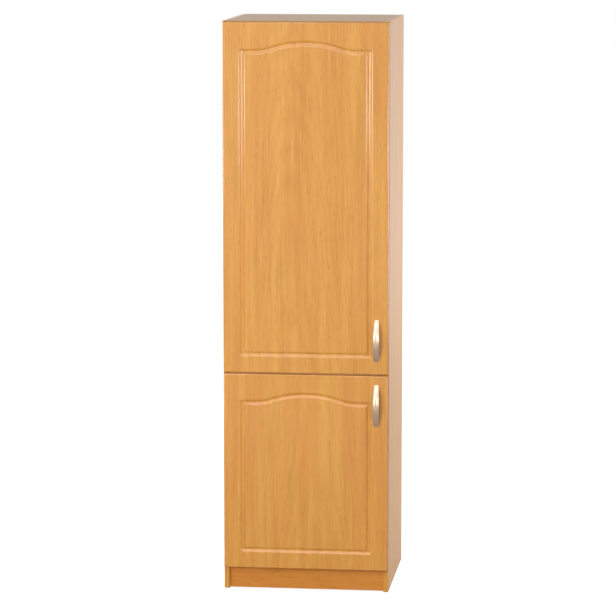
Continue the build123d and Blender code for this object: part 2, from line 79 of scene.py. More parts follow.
def linear(hex_colour: str) -> Colour:
    """Turn an sRGB hex colour into linear light.

    Args:
        hex_colour: Six hex digits after a hash sign.

    Returns:
        Red, green, blue and an alpha of one.
    """
    values = [int(hex_colour[i : i + 2], 16) / 255 for i in (1, 3, 5)]
    light = [v / 12.92 if v <= 0.04045 else ((v + 0.055) / 1.055) ** 2.4 for v in values]
    return (*light, 1.0)


def add_node(
    tree: bpy.types.NodeTree, kind: str, links: dict[Any, Any] | None = None, **settings: Any
) -> bpy.types.Node:
    """Add one shader node with its settings and links.

    Args:
        tree: The material's node tree.
        kind: Node type name.
        links: Input name or index to an output socket, or to a plain value.
        settings: Attributes of the node.

    Returns:
        The new node.
    """
    node = tree.nodes.new(kind)
    for name, value in settings.items():
        setattr(node, name, value)
    for key, value in (links or {}).items():
        if isinstance(value, bpy.types.NodeSocket):
            tree.links.new(value, node.inputs[key])
        else:
            node.inputs[key].default_value = value
    return node


def set_ramp(node: bpy.types.Node, stops: Sequence[tuple[float, Colour]]) -> None:
    """Give a colour ramp its stops.

    Args:
        node: The colour ramp node.
        stops: Position and linear colour of each stop, in order.
    """
    elements = node.color_ramp.elements
    while len(elements) < len(stops):
        elements.new(1.0)
    for element, (position, colour) in zip(elements, stops):
        element.position = position
        element.color = colour


def new_material(name: str) -> tuple[bpy.types.Material, bpy.types.NodeTree, bpy.types.Node]:
    """Start a node material with one principled shader.

    Args:
        name: Name of the real material.

    Returns:
        The material, its tree and its shader node.
    """
    material = bpy.data.materials.new(name)
    material.use_nodes = True
    return material, material.node_tree, material.node_tree.nodes["Principled BSDF"]


def pattern_space(
    tree: bpy.types.NodeTree, sizes_mm: Sequence[float], shift_mm: Sequence[float]
) -> bpy.types.NodeSocket:
    """Object coordinates measured in pattern cells.

    Args:
        tree: The material's node tree.
        sizes_mm: Size of one cell along X, Y and Z.
        shift_mm: Where the pattern starts, so that boards differ.

    Returns:
        The scaled coordinates.
    """
    place = add_node(tree, "ShaderNodeTexCoord")
    scale = [1 / (size * MM) for size in sizes_mm]
    move = [-shift * MM * s for shift, s in zip(shift_mm, scale)]
    links = {"Vector": place.outputs["Object"], "Location": move, "Scale": scale}
    return add_node(tree, "ShaderNodeMapping", links).outputs["Vector"]


@dataclass(frozen=True)
class Tones:
    """The five colours of one wood print, as sRGB hex."""

    pale: str
    middle: str
    dark: str
    tint: str
    fleck: str


@dataclass(frozen=True)
class WoodFoil:
    """Printed wood grain on foil or melamine: soft streaks, nested arches, short flecks, a satin sheen."""

    name: str
    tones: Tones
    grain: Axis
    shift_mm: Triple = (0.0, 0.0, 0.0)
    streak_mm: float = 26.0
    arch_mm: tuple[float, float] = (105.0, 420.0)
    arch_bands: float = 5.0
    arch_sway: float = 1.6
    arch_share: float = 0.08
    fibre_share: float = 0.34
    tone_reach: float = 0.18333
    tint_span: tuple[float, float] = (0.45, 0.75)
    tint_share: float = 0.6
    fleck_span: tuple[float, float] = (0.66, 0.78)
    fleck_share: float = 0.34
    roughness: float = 0.25
    roughness_span: tuple[float, float] = (-0.05, 0.06)
    bump: float = 0.05
    specular: float = 0.45
    coat: float = 0.0
    coat_roughness: float = 0.12
    edged: bool = False
    edging: str = "#D9993F"
    # Chips of the bare board, at about their real size
    chip_mm: Triple = (3.0, 3.0, 5.0)

    def cell(self, across: float, along: float) -> list[float]:
        """Cell sizes with the long side down the grain."""
        return [along if axis == self.grain.value else across for axis in range(3)]

    def patterns(self, tree: bpy.types.NodeTree) -> dict[str, bpy.types.NodeSocket]:
        """Noise patterns of the grain, in real sizes.

        Args:
            tree: The material's node tree.

        Returns:
            One value socket for each pattern.
        """
        # Millimetres across and along the grain, and detail. The flecks are drawn some five times coarser
        # than real ones, which are too fine to show in this view
        sizes = {
            "streaks": (self.streak_mm, self.streak_mm * 26, 3.0),
            "fibres": (self.streak_mm / 5, self.streak_mm * 6, 2.0),
            "sway": (120.0, 620.0, 1.0),
            "tint": (46.0, 760.0, 1.0),
            "flecks": (3.0, 30.0, 0.0),
        }
        found = {}
        for name, (across, along, detail) in sizes.items():
            space = pattern_space(tree, self.cell(across, along), self.shift_mm)
            links = {"Vector": space, "Scale": 1.0, "Detail": detail}
            found[name] = add_node(tree, "ShaderNodeTexNoise", links).outputs["Fac"]
        return found

    def arches(self, tree: bpy.types.NodeTree, sway: bpy.types.NodeSocket) -> bpy.types.NodeSocket:
        """Nested arches of a flat-sawn board, from the square of the way off its middle.

        Args:
            tree: The material's node tree.
            sway: Slow noise that bends the arches.

        Returns:
            Bands between zero and one.
        """
        space = pattern_space(tree, self.cell(*self.arch_mm), self.shift_mm)
        parts = add_node(tree, "ShaderNodeSeparateXYZ", {"Vector": space})
        flat = [0.0 if axis == self.grain.value else 1.0 for axis in range(3)]
        off = add_node(tree, "ShaderNodeVectorMath", {0: space, 1: flat}, operation="MULTIPLY")
        links = {0: off.outputs[0], 1: off.outputs[0]}
        square = add_node(tree, "ShaderNodeVectorMath", links, operation="DOT_PRODUCT")
        links = {0: sway, 1: self.arch_sway, 2: square.outputs["Value"]}
        bent = add_node(tree, "ShaderNodeMath", links, operation="MULTIPLY_ADD")
        links = {0: bent.outputs[0], 1: parts.outputs[self.grain.value]}
        run = add_node(tree, "ShaderNodeMath", links, operation="ADD")
        links = {0: run.outputs[0], 1: self.arch_bands}
        bands = add_node(tree, "ShaderNodeMath", links, operation="MULTIPLY")
        folded = add_node(tree, "ShaderNodeMath", {0: bands.outputs[0], 1: 1.0}, operation="PINGPONG")
        return folded.outputs[0]

    def edges(self, tree: bpy.types.NodeTree, face: bpy.types.NodeSocket) -> bpy.types.NodeSocket:
        """Edges of a board: edging in the doors' colour at the front, bare chipboard at the back.

        Args:
            tree: The material's node tree.
            face: Colour of the melamine.

        Returns:
            The colour with the edges put in.
        """
        place = add_node(tree, "ShaderNodeTexCoord")
        parts = add_node(tree, "ShaderNodeSeparateXYZ", {"Vector": place.outputs["Object"]})
        depth = parts.outputs["Y"]
        bare = add_node(tree, "ShaderNodeMath", {0: depth, 1: BACK_EDGE_Y}, operation="GREATER_THAN")
        links = {"Vector": pattern_space(tree, self.chip_mm, self.shift_mm), "Scale": 1.0, "Detail": 2.0}
        chips = add_node(tree, "ShaderNodeTexNoise", links)
        tone = add_node(tree, "ShaderNodeValToRGB", {"Fac": chips.outputs["Fac"]})
        set_ramp(tone, [(0.38, linear("#8F6E46")), (0.5, linear("#BE9A6A")), (0.64, linear("#D8BC90"))])
        links = {"Factor": bare.outputs[0], 6: face, 7: tone.outputs["Color"]}
        backed = add_node(tree, "ShaderNodeMix", links, data_type="RGBA")
        front = add_node(tree, "ShaderNodeMath", {0: depth, 1: FRONT_EDGE_Y}, operation="LESS_THAN")
        links = {"Factor": front.outputs[0], 6: backed.outputs[2], 7: linear(self.edging)}
        return add_node(tree, "ShaderNodeMix", links, data_type="RGBA").outputs[2]

    def overlay(
        self,
        tree: bpy.types.NodeTree,
        under: bpy.types.NodeSocket,
        pattern: bpy.types.NodeSocket,
        span: tuple[float, float],
        share: float,
        colour: str,
    ) -> bpy.types.NodeSocket:
        """Lay a colour over another where a pattern is high.

        Args:
            tree: The material's node tree.
            under: The colour below.
            pattern: The pattern.
            span: Values of the pattern where the colour starts and is full.
            share: How much of the colour shows where it is full.
            colour: The colour laid on.

        Returns:
            The mixed colour.
        """
        links = {"Value": pattern, "From Min": span[0], "From Max": span[1], "To Max": share}
        amount = add_node(tree, "ShaderNodeMapRange", links)
        links = {"Factor": amount.outputs["Result"], 6: under, 7: linear(colour)}
        return add_node(tree, "ShaderNodeMix", links, data_type="RGBA").outputs[2]

    def build(self) -> bpy.types.Material:
        """Make the material.

        Returns:
            The finished material.
        """
        material, tree, shader = new_material(self.name)
        tones = self.tones
        seen = self.patterns(tree)
        links = {"Factor": self.fibre_share, 2: seen["streaks"], 3: seen["fibres"]}
        grain = add_node(tree, "ShaderNodeMix", links)
        links = {"Factor": self.arch_share, 2: grain.outputs[0], 3: self.arches(tree, seen["sway"])}
        figured = add_node(tree, "ShaderNodeMix", links)
        low, high = 0.5 - self.tone_reach, 0.5 + self.tone_reach
        links = {"Value": figured.outputs[0], "From Min": low, "From Max": high}
        spread = add_node(tree, "ShaderNodeMapRange", links)
        tone = add_node(tree, "ShaderNodeValToRGB", {"Fac": spread.outputs["Result"]})
        set_ramp(tone, [(0.0, linear(tones.dark)), (0.5, linear(tones.middle)), (1.0, linear(tones.pale))])
        colour = self.overlay(
            tree, tone.outputs["Color"], seen["tint"], self.tint_span, self.tint_share, tones.tint
        )
        colour = self.overlay(tree, colour, seen["flecks"], self.fleck_span, self.fleck_share, tones.fleck)
        shown = self.edges(tree, colour) if self.edged else colour
        tree.links.new(shown, shader.inputs["Base Color"])
        low, high = (self.roughness + step for step in self.roughness_span)
        dull = add_node(tree, "ShaderNodeMapRange", {"Value": seen["fibres"], "To Min": low, "To Max": high})
        tree.links.new(dull.outputs["Result"], shader.inputs["Roughness"])
        links = {"Height": seen["fibres"], "Strength": self.bump, "Distance": RELIEF}
        bump = add_node(tree, "ShaderNodeBump", links)
        tree.links.new(bump.outputs["Normal"], shader.inputs["Normal"])
        shader.inputs["Specular IOR Level"].default_value = self.specular
        shader.inputs["Coat Weight"].default_value = self.coat
        shader.inputs["Coat Roughness"].default_value = self.coat_roughness
        return material


@dataclass(frozen=True)
class PlainFinish:
    """A metal, plastic or raw board with a fine mottle in colour and roughness."""

    name: str
    colour: str
    shade: str
    roughness: float
    metallic: float = 0.0
    # Size of the mottle, drawn coarser than a real one where that is too fine to show
    grain_mm: Triple = (6.0, 6.0, 6.0)
    bump: float = 0.05
    roughness_reach: float = 0.07

    def build(self) -> bpy.types.Material:
        """Make the material.

        Returns:
            The finished material.
        """
        material, tree, shader = new_material(self.name)
        space = pattern_space(tree, self.grain_mm, (0.0, 0.0, 0.0))
        links = {"Vector": space, "Scale": 1.0, "Detail": 4.0, "Roughness": 0.6}
        mottle = add_node(tree, "ShaderNodeTexNoise", links).outputs["Fac"]
        tone = add_node(tree, "ShaderNodeValToRGB", {"Fac": mottle})
        set_ramp(tone, [(0.3, linear(self.shade)), (0.7, linear(self.colour))])
        tree.links.new(tone.outputs["Color"], shader.inputs["Base Color"])
        low, high = self.roughness - self.roughness_reach, self.roughness + self.roughness_reach
        dull = add_node(tree, "ShaderNodeMapRange", {"Value": mottle, "To Min": low, "To Max": high})
        tree.links.new(dull.outputs["Result"], shader.inputs["Roughness"])
        links = {"Height": mottle, "Strength": self.bump, "Distance": RELIEF}
        bump = add_node(tree, "ShaderNodeBump", links)
        tree.links.new(bump.outputs["Normal"], shader.inputs["Normal"])
        shader.inputs["Metallic"].default_value = self.metallic
        return material


def select_only(obj: bpy.types.Object) -> None:
    """Make one piece the only selected one and the active one.

    Args:
        obj: The piece.
    """
    bpy.ops.object.select_all(action="DESELECT")
    obj.select_set(True)
    bpy.context.view_layer.objects.active = obj


def start_edit(obj: bpy.types.Object) -> bmesh.types.BMesh:
    """Go into edit mode on one object with nothing selected.

    Args:
        obj: The piece to edit.

    Returns:
        Its edit mesh.
    """
    select_only(obj)
    bpy.ops.object.mode_set(mode="EDIT")
    bpy.ops.mesh.select_all(action="DESELECT")
    return bmesh.from_edit_mesh(obj.data)


def select_parts(obj: bpy.types.Object, kind: str, test: Callable[[Any], bool]) -> None:
    """Select the faces or the edges that pass a test, and nothing else.

    Args:
        obj: The piece in edit mode.
        kind: FACE or EDGE.
        test: Says whether a face or an edge is wanted.
    """
    bpy.ops.mesh.select_mode(type=kind)
    bpy.ops.mesh.select_all(action="DESELECT")
    mesh = bmesh.from_edit_mesh(obj.data)
    for part in mesh.faces if kind == "FACE" else mesh.edges:
        part.select_set(test(part))
    bmesh.update_edit_mesh(obj.data)


def end_edit() -> None:
    """Leave edit mode with the normals facing out."""
    bpy.ops.mesh.select_all(action="SELECT")
    bpy.ops.mesh.normals_make_consistent(inside=False)
    bpy.ops.object.mode_set(mode="OBJECT")


def add_box(name: str, low: Vector, high: Vector) -> bpy.types.Object:
    """Add a box primitive between two corners, with its place in its mesh.

    Args:
        name: Name of the piece.
        low: Lowest corner.
        high: Highest corner.

    Returns:
        The new object.
    """
    bpy.ops.object.select_all(action="DESELECT")
    bpy.ops.mesh.primitive_cube_add(size=1.0, location=(low + high) / 2, scale=high - low)
    obj = bpy.context.object
    obj.name = name
    obj.data.name = name
    bpy.ops.object.transform_apply(location=True, rotation=True, scale=True)
    return obj


def copy_mesh(name: str, source: bpy.types.Object) -> bpy.types.Object:
    """Add a piece with its own copy of another one's mesh.

    Args:
        name: Name of the new piece.
        source: The piece to copy.

    Returns:
        The new object.
    """
    obj = bpy.data.objects.new(name, source.data.copy())
    bpy.context.scene.collection.objects.link(obj)
    return obj


def apply_modifier(obj: bpy.types.Object, kind: str, **settings: Any) -> None:
    """Add one modifier and apply it.

    Args:
        obj: The piece.
        kind: Modifier type.
        settings: Attributes of the modifier.
    """
    select_only(obj)
    modifier = obj.modifiers.new(kind.title(), kind)
    for name, value in settings.items():
        setattr(modifier, name, value)
    bpy.ops.object.modifier_apply(modifier=modifier.name)


def cut_away(obj: bpy.types.Object, cutter: bpy.types.Object) -> None:
    """Cut one piece with another, which is then gone.

    Args:
        obj: The piece.
        cutter: The shape that is taken out of it.
    """
    apply_modifier(obj, "BOOLEAN", object=cutter, operation="DIFFERENCE", solver="EXACT")
    bpy.data.objects.remove(cutter)


def smooth(obj: bpy.types.Object, degrees: float = 35.0) -> None:
    """Shade a piece smooth up to an angle, with flat faces kept flat.

    Args:
        obj: The piece.
        degrees: Edges sharper than this stay sharp.
    """
    select_only(obj)
    bpy.ops.object.shade_smooth_by_angle(angle=math.radians(degrees))
    apply_modifier(obj, "WEIGHTED_NORMAL", keep_sharp=True, weight=80)


def hand_over(obj: bpy.types.Object, node: str, body: str) -> bpy.types.Object:
    """Let a finished piece take the place of its CAD node.

    Args:
        obj: The finished piece.
        node: CAD node that it replaces.
        body: Body that it moves with.

    Returns:
        The same piece.
    """
    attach(obj, body)
    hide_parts(node)
    return obj


@dataclass
class GrooveProfile:
    """Cross-section of the routed groove: a small lip, a round shoulder, a hollow, and the same back up."""

    width: float = 25.0 * MM
    depth: float = 5.6 * MM
    lip: float = 0.3 * MM
    shoulder_radius: float = 10.4 * MM
    steps: int = 7

    def drops(self) -> list[tuple[float, float]]:
        """Way in from the rim and depth below the front, from the lip to the middle of the groove.

        Returns:
            Pairs of distance and depth.
        """
        half = self.width / 2
        turn = 2 * math.atan((self.depth - self.lip) / half)
        middle = self.shoulder_radius * math.sin(turn)
        hollow_radius = half / math.sin(turn) - self.shoulder_radius
        points = []
        for step in range(1, self.steps + 1):
            angle = turn * step / self.steps
            drop = self.lip + self.shoulder_radius * (1 - math.cos(angle))
            points.append((self.shoulder_radius * math.sin(angle), drop))
        for step in range(1, self.steps + 1):
            angle = turn * (1 - step / self.steps)
            run = middle + hollow_radius * (math.sin(turn) - math.sin(angle))
            points.append((run, drop + hollow_radius * (math.cos(angle) - math.cos(turn))))
        return points

    def rings(self) -> list[tuple[float, float]]:
        """Offset from the middle line and depth of every ring, from the outer rim to the inner one.

        Returns:
            Pairs of offset, positive outwards, and depth.
        """
        half = self.width / 2
        down = [(half, 0.0), (half, self.lip)] + [(half - run, drop) for run, drop in self.drops()]
        return down + [(-offset, drop) for offset, drop in reversed(down[:-1])]


@dataclass(frozen=True)
class Station:
    """One place on the groove's middle line, with its outward direction and its direction inside a mitre."""

    place: tuple[float, float]
    out: tuple[float, float]
    mitre: tuple[float, float]

    def at(self, offset: float) -> tuple[float, float]:
        """Point at a distance from the middle line.

        Args:
            offset: Distance, positive outwards.

        Returns:
            Place across the door and height.
        """
        way = self.out if offset >= 0 else self.mitre
        return self.place[0] + way[0] * offset, self.place[1] + way[1] * offset


@dataclass
class Door:
    """A foil-wrapped door: rounded front edges, a routed frame groove with a cathedral arch, bored back."""

    node: str
    body: str
    cups: tuple[str, ...]
    profile: GrooveProfile = field(default_factory=GrooveProfile)
    edge_radius: float = 5.0 * MM
    edge_steps: int = 6
    frame_width: float = 56.5 * MM
    frame_shoulder: float = 92.0 * MM
    arch_half_width: float = 184.0 * MM
    arch_rise: float = 30.0 * MM
    foot_radius: float = 185.0 * MM
    cup_radius: float = 17.5 * MM
    cup_flange_radius: float = 19.5 * MM
    cup_sides: int = 64
    arch_steps: int = 14
    corner_steps: int = 6

    def stations(self, low: Vector, high: Vector) -> list[Station]:
        """Places round the groove's middle line, anticlockwise from the foot of the left side.

        Args:
            low: Lowest corner of the door.
            high: Highest corner of the door.

        Returns:
            The stations in order.
        """
        half = self.profile.width / 2
        side_x = (high.x - low.x) / 2 - self.frame_width - half
        foot_z = low.z + self.frame_width + half
        shoulder_z = high.z - self.frame_shoulder - half
        turn = 2 * math.atan(self.arch_rise / self.arch_half_width)
        crown = self.arch_half_width / math.sin(turn) - self.foot_radius
        crown_z = shoulder_z + self.arch_rise - crown
        places = self.corner(-side_x, foot_z, math.pi) + self.corner(side_x, foot_z, -math.pi / 2)
        places += self.corner(side_x, shoulder_z, 0.0)
        arch = []
        for step in range(self.arch_steps):
            angle = turn * step / self.arch_steps
            x = self.arch_half_width - self.foot_radius * math.sin(angle)
            z = shoulder_z + self.foot_radius * (1 - math.cos(angle))
            arch.append((x, z, angle))
        for step in range(self.arch_steps + 1):
            angle = turn * (1 - step / self.arch_steps)
            arch.append((crown * math.sin(angle), crown_z + crown * math.cos(angle), angle))
        arch += [(-x, z, -angle) for x, z, angle in reversed(arch[:-1])]
        for x, z, angle in arch:
            out = (math.sin(angle), math.cos(angle))
            places.append(Station((x, z), out, out))
        return places + self.corner(-side_x, shoulder_z, math.pi / 2)

    def corner(self, x: float, z: float, start: float) -> list[Station]:
        """Stations at one corner: round outside the middle line, mitred inside it.

        Args:
            x: Place of the corner across the door.
            z: Height of the corner.
            start: Angle of the first outward direction.

        Returns:
            The corner's stations.
        """
        angles = [start + math.pi / 2 * step / self.corner_steps for step in range(self.corner_steps + 1)]
        outs = [(math.cos(angle), math.sin(angle)) for angle in angles]
        mitre = (outs[0][0] + outs[-1][0], outs[0][1] + outs[-1][1])
        return [Station((x, z), out, mitre) for out in outs]

    def build(self) -> bpy.types.Object:
        """Model the door in place of its CAD node.

        Returns:
            The finished door.
        """
        low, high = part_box(self.node)
        door = self.slab(low, high)
        field_piece = self.rout(low, high)
        select_only(door)
        field_piece.select_set(True)
        bpy.ops.object.join()
        self.close_front(door, low)
        for cup in self.cups:
            self.bore(door, cup, high)
        smooth(door)
        return hand_over(door, self.node, self.body)

    def slab(self, low: Vector, high: Vector) -> bpy.types.Object:
        """Board with rounded front edges and its flat front face taken off.

        Args:
            low: Lowest corner of the door.
            high: Highest corner of the door.

        Returns:
            The open board.
        """
        door = add_box(self.node.replace("_panel", ""), low, high)
        start_edit(door)
        select_parts(door, "EDGE", lambda edge: all(v.co.y < low.y + WELD for v in edge.verts))
        bpy.ops.mesh.bevel(offset=self.edge_radius, segments=self.edge_steps, profile=0.5, affect="EDGES")
        select_parts(door, "FACE", lambda face: face.normal.y < -FACING)
        bpy.ops.mesh.delete(type="FACE")
        end_edit()
        return door

    def rout(self, low: Vector, high: Vector) -> bpy.types.Object:
        """Field of the door with the groove round it, drawn in from the rim ring by ring.

        Args:
            low: Lowest corner of the door.
            high: Highest corner of the door.

        Returns:
            The field and groove as an open object.
        """
        middle_x = (low.x + high.x) / 2
        places = self.stations(low, high)
        bpy.ops.object.select_all(action="DESELECT")
        bpy.ops.mesh.primitive_circle_add(vertices=len(places), fill_type="NOTHING")
        routed = bpy.context.object
        mesh = start_edit(routed)
        layer = mesh.verts.layers.int.new("station")
        for vert in mesh.verts:
            vert[layer] = vert.index
        bpy.ops.mesh.select_mode(type="VERT")
        bpy.ops.mesh.select_all(action="SELECT")
        for number, (offset, depth) in enumerate(self.profile.rings()):
            if number:
                bpy.ops.mesh.extrude_region_move(TRANSFORM_OT_translate={"value": (0, 0, 0)})
            mesh = bmesh.from_edit_mesh(routed.data)
            layer = mesh.verts.layers.int["station"]
            for vert in mesh.verts:
                if vert.select:
                    x, z = places[vert[layer]].at(offset)
                    vert.co = Vector((middle_x + x, low.y + depth, z))
            bmesh.update_edit_mesh(routed.data)
        bpy.ops.mesh.edge_face_add()
        mesh = bmesh.from_edit_mesh(routed.data)
        mesh.verts.layers.int.remove(mesh.verts.layers.int["station"])
        bpy.ops.mesh.select_all(action="SELECT")
        bpy.ops.mesh.remove_doubles(threshold=2 * WELD)
        bpy.ops.object.mode_set(mode="OBJECT")
        return routed

    def close_front(self, door: bpy.types.Object, low: Vector) -> None:
        """Fill the flat frame between the rounded edge and the groove.

        Args:
            door: The board joined with the routed field.
            low: Lowest corner of the door.
        """
        start_edit(door)
        select_parts(
            door,
            "EDGE",
            lambda edge: edge.is_boundary and all(abs(v.co.y - low.y) < WELD for v in edge.verts),
        )
        bpy.ops.mesh.fill(use_beauty=True)
        end_edit()

    def bore(self, door: bpy.types.Object, cup: str, high: Vector) -> None:
        """Bore the hole that one hinge cup sits in.

        Args:
            door: The door.
            cup: CAD node of the cup.
            high: Highest corner of the door.
        """
        cup_low, cup_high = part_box(cup)
        centre_z = (cup_low.z + cup_high.z) / 2
        centre_x = cup_low.x + self.cup_flange_radius
        bpy.ops.object.select_all(action="DESELECT")
        bpy.ops.mesh.primitive_cylinder_add(
            vertices=self.cup_sides,
            radius=self.cup_radius,
            depth=2 * (high.y - cup_low.y),
            location=(centre_x, high.y, centre_z),
            rotation=(math.pi / 2, 0, 0),
        )
        cut_away(door, bpy.context.object)


@dataclass
class BowHandle:
    """A satin-nickel bow handle: a strap between two arcs, crowned across and wider at its middle."""

    node: str
    body: str
    foot_length: float = 15.0 * MM
    thickness: float = 5.5 * MM
    end_width: float = 18.0 * MM
    end_round: float = 0.32
    round_from: float = 0.8
    crown: float = 2.4 * MM
    crown_fade: float = 0.6
    edge_radius: float = 1.0 * MM
    edge_steps: int = 4
    corner_degrees: float = 45.0
    lengthwise_within: float = 0.4 * MM
    door_clear: float = 0.2 * MM
    smooth_degrees: float = 50.0
    sections: int = 48
    columns: int = 14

    def build(self) -> bpy.types.Object:
        """Model the handle in place of its CAD node.

        Returns:
            The finished handle.
        """
        low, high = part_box(self.node)
        bpy.ops.object.select_all(action="DESELECT")
        bpy.ops.mesh.primitive_grid_add(x_subdivisions=self.sections, y_subdivisions=self.columns, size=2.0)
        handle = bpy.context.object
        handle.name = self.node.replace("_handle", "_bow_handle")
        handle.data.name = handle.name
        mesh = start_edit(handle)
        along = mesh.verts.layers.float.new("along")
        across = mesh.verts.layers.float.new("across")
        for vert in mesh.verts:
            vert[along], vert[across] = vert.co.x, vert.co.y
        bpy.ops.mesh.select_all(action="SELECT")
        self.lay(handle, True, low, high)
        bpy.ops.mesh.extrude_region_move(TRANSFORM_OT_translate={"value": (0, 0, 0)})
        self.lay(handle, False, low, high)
        mesh = bmesh.from_edit_mesh(handle.data)
        for name in ("along", "across"):
            mesh.verts.layers.float.remove(mesh.verts.layers.float[name])
        bpy.ops.mesh.select_all(action="SELECT")
        bpy.ops.mesh.normals_make_consistent(inside=False)
        select_parts(handle, "EDGE", lambda edge: self.is_long_corner(edge, high.y))
        bpy.ops.mesh.bevel(offset=self.edge_radius, segments=self.edge_steps, profile=0.5, affect="EDGES")
        end_edit()
        smooth(handle, self.smooth_degrees)
        return hand_over(handle, self.node, self.body)

    def lay(self, handle: bpy.types.Object, front: bool, low: Vector, high: Vector) -> None:
        """Lay the selected sheet on the strap's front or back arc.

        Args:
            handle: The handle in edit mode.
            front: Whether the front arc is meant.
            low: Lowest corner of the handle.
            high: Highest corner of the handle.
        """
        middle = (low + high) / 2
        reach = (high.z - low.z) / 2 - (0.0 if front else self.foot_length)
        rise = high.y - low.y - (0.0 if front else self.thickness)
        radius = (reach**2 + rise**2) / (2 * rise)
        widest = high.x - low.x
        mesh = bmesh.from_edit_mesh(handle.data)
        along, across = (mesh.verts.layers.float[name] for name in ("along", "across"))
        for vert in mesh.verts:
            if vert.select:
                angle = vert[along] * math.asin(reach / radius)
                y = high.y - (radius * math.cos(angle) - (radius - rise))
                if front:
                    y += self.crown * (1 - self.crown_fade * vert[along] ** 4) * vert[across] ** 2
                width = widest - (widest - self.end_width) * vert[along] ** 2
                tip = max(0.0, (abs(vert[along]) - self.round_from) / (1 - self.round_from))
                width *= 1 - self.end_round * tip**3
                x = middle.x + vert[across] * width / 2
                vert.co = Vector((x, min(y, high.y), middle.z + radius * math.sin(angle)))
        bmesh.update_edit_mesh(handle.data)

    def is_long_corner(self, edge: bmesh.types.BMEdge, door_y: float) -> bool:
        """Say whether a sharp edge runs along the strap, clear of the door.

        Args:
            edge: An edge of the handle.
            door_y: Where the door's front is.

        Returns:
            True if the edge is to be rounded.
        """
        sharp = len(edge.link_faces) == 2 and edge.calc_face_angle(0.0) > math.radians(self.corner_degrees)
        lengthwise = abs((edge.verts[0].co - edge.verts[1].co).x) < self.lengthwise_within
        return sharp and lengthwise and all(v.co.y < door_y - self.door_clear for v in edge.verts)


@dataclass
class Pressing:
    """A pressed or die-cast fitting: the CAD shape with eased edges, as tumbling and plating leave them."""

    node: str
    body: str
    slot: str
    edge_radius: float = 0.3 * MM
    edge_steps: int = 2
    sharp_degrees: float = 40.0
    flat_degrees: float = 0.5

    def build(self) -> bpy.types.Object:
        """Copy the CAD shape, clean it and ease its edges.

        Returns:
            The finished fitting.
        """
        fitting = copy_mesh(f"{self.node}_eased", frame["nodes"][self.node])
        start_edit(fitting)
        bpy.ops.mesh.select_all(action="SELECT")
        bpy.ops.mesh.remove_doubles(threshold=WELD)
        bpy.ops.mesh.dissolve_limited(angle_limit=math.radians(self.flat_degrees))
        end_edit()
        apply_modifier(
            fitting,
            "BEVEL",
            width=self.edge_radius,
            segments=self.edge_steps,
            limit_method="ANGLE",
            angle_limit=math.radians(self.sharp_degrees),
            use_clamp_overlap=True,
        )
        smooth(fitting)
        return hand_over(fitting, self.node, self.body)


@dataclass
class PanScrews:
    """One set of pan-head screws: domed heads with a cross recess, on plain shanks."""

    node: str
    body: str
    heads: tuple[int, int, int]
    head_radius: float = 3.6 * MM
    head_height: float = 1.6 * MM
    head_sides: int = 32
    dome: float = 0.8 * MM
    dome_steps: int = 4
    shank_radius: float = 2.0 * MM
    recess_length: float = 4.4 * MM
    recess_width: float = 1.0 * MM
    recess_depth: float = 1.1 * MM

    def build(self) -> bpy.types.Object:
        """Model one screw, copy it to each place and join the set.

        Returns:
            The finished set.
        """
        spots = self.spots()
        screw = self.model(spots[0][1])
        way = Vector(self.heads)
        copies = []
        for place, _ in spots:
            twin = copy_mesh(screw.name, screw)
            twin.location = place
            twin.rotation_euler = way.to_track_quat("Z", "Y").to_euler()
            copies.append(twin)
        bpy.data.objects.remove(screw)
        bpy.ops.object.select_all(action="DESELECT")
        for twin in copies:
            twin.select_set(True)
        bpy.context.view_layer.objects.active = copies[0]
        bpy.ops.object.transform_apply(location=True, rotation=True, scale=True)
        bpy.ops.object.join()
        joined = bpy.context.object
        joined.name = f"{self.node}_pan"
        joined.data.name = joined.name
        smooth(joined)
        return hand_over(joined, self.node, self.body)

    def spots(self) -> list[tuple[Vector, float]]:
        """Where the CAD node has its screws.

        Returns:
            The point under each head and the length of its shank.
        """
        start_edit(copy_mesh("probe", frame["nodes"][self.node]))
        bpy.ops.mesh.select_all(action="SELECT")
        bpy.ops.mesh.remove_doubles(threshold=WELD)
        bpy.ops.mesh.separate(type="LOOSE")
        bpy.ops.object.mode_set(mode="OBJECT")
        way = Vector(self.heads)
        found = []
        for piece in list(bpy.context.selected_objects):
            points = [vert.co for vert in piece.data.vertices]
            low, high = (Vector(pick(p[i] for p in points) for i in range(3)) for pick in (min, max))
            middle = (low + high) / 2
            runs = [point.dot(way) for point in points]
            under = max(runs) - self.head_height
            found.append((middle + way * (under - middle.dot(way)), under - min(runs)))
            bpy.data.objects.remove(piece)
        return found

    def model(self, length: float) -> bpy.types.Object:
        """Model one screw at the origin, its head upwards.

        Args:
            length: Length of the shank.

        Returns:
            The screw.
        """
        bpy.ops.object.select_all(action="DESELECT")
        bpy.ops.mesh.primitive_cylinder_add(
            vertices=self.head_sides,
            radius=self.head_radius,
            depth=self.head_height,
            location=(0, 0, self.head_height / 2),
        )
        screw = bpy.context.object
        bpy.ops.object.transform_apply(location=True)
        start_edit(screw)
        top = self.head_height - WELD
        select_parts(screw, "EDGE", lambda edge: all(v.co.z > top for v in edge.verts))
        bpy.ops.mesh.bevel(offset=self.dome, segments=self.dome_steps, profile=0.5, affect="EDGES")
        select_parts(screw, "FACE", lambda face: face.normal.z < -FACING)
        bpy.ops.mesh.inset(thickness=self.head_radius - self.shank_radius)
        bpy.ops.mesh.extrude_region_move(TRANSFORM_OT_translate={"value": (0, 0, -length)})
        end_edit()
        floor = Vector((0, 0, self.head_height - self.recess_depth))
        rise = Vector((0, 0, 2 * self.recess_depth))
        for size in ((self.recess_length, self.recess_width), (self.recess_width, self.recess_length)):
            half = Vector((*size, 0)) / 2
            cut_away(screw, add_box("recess", floor - half, floor + half + rise))
        return screw


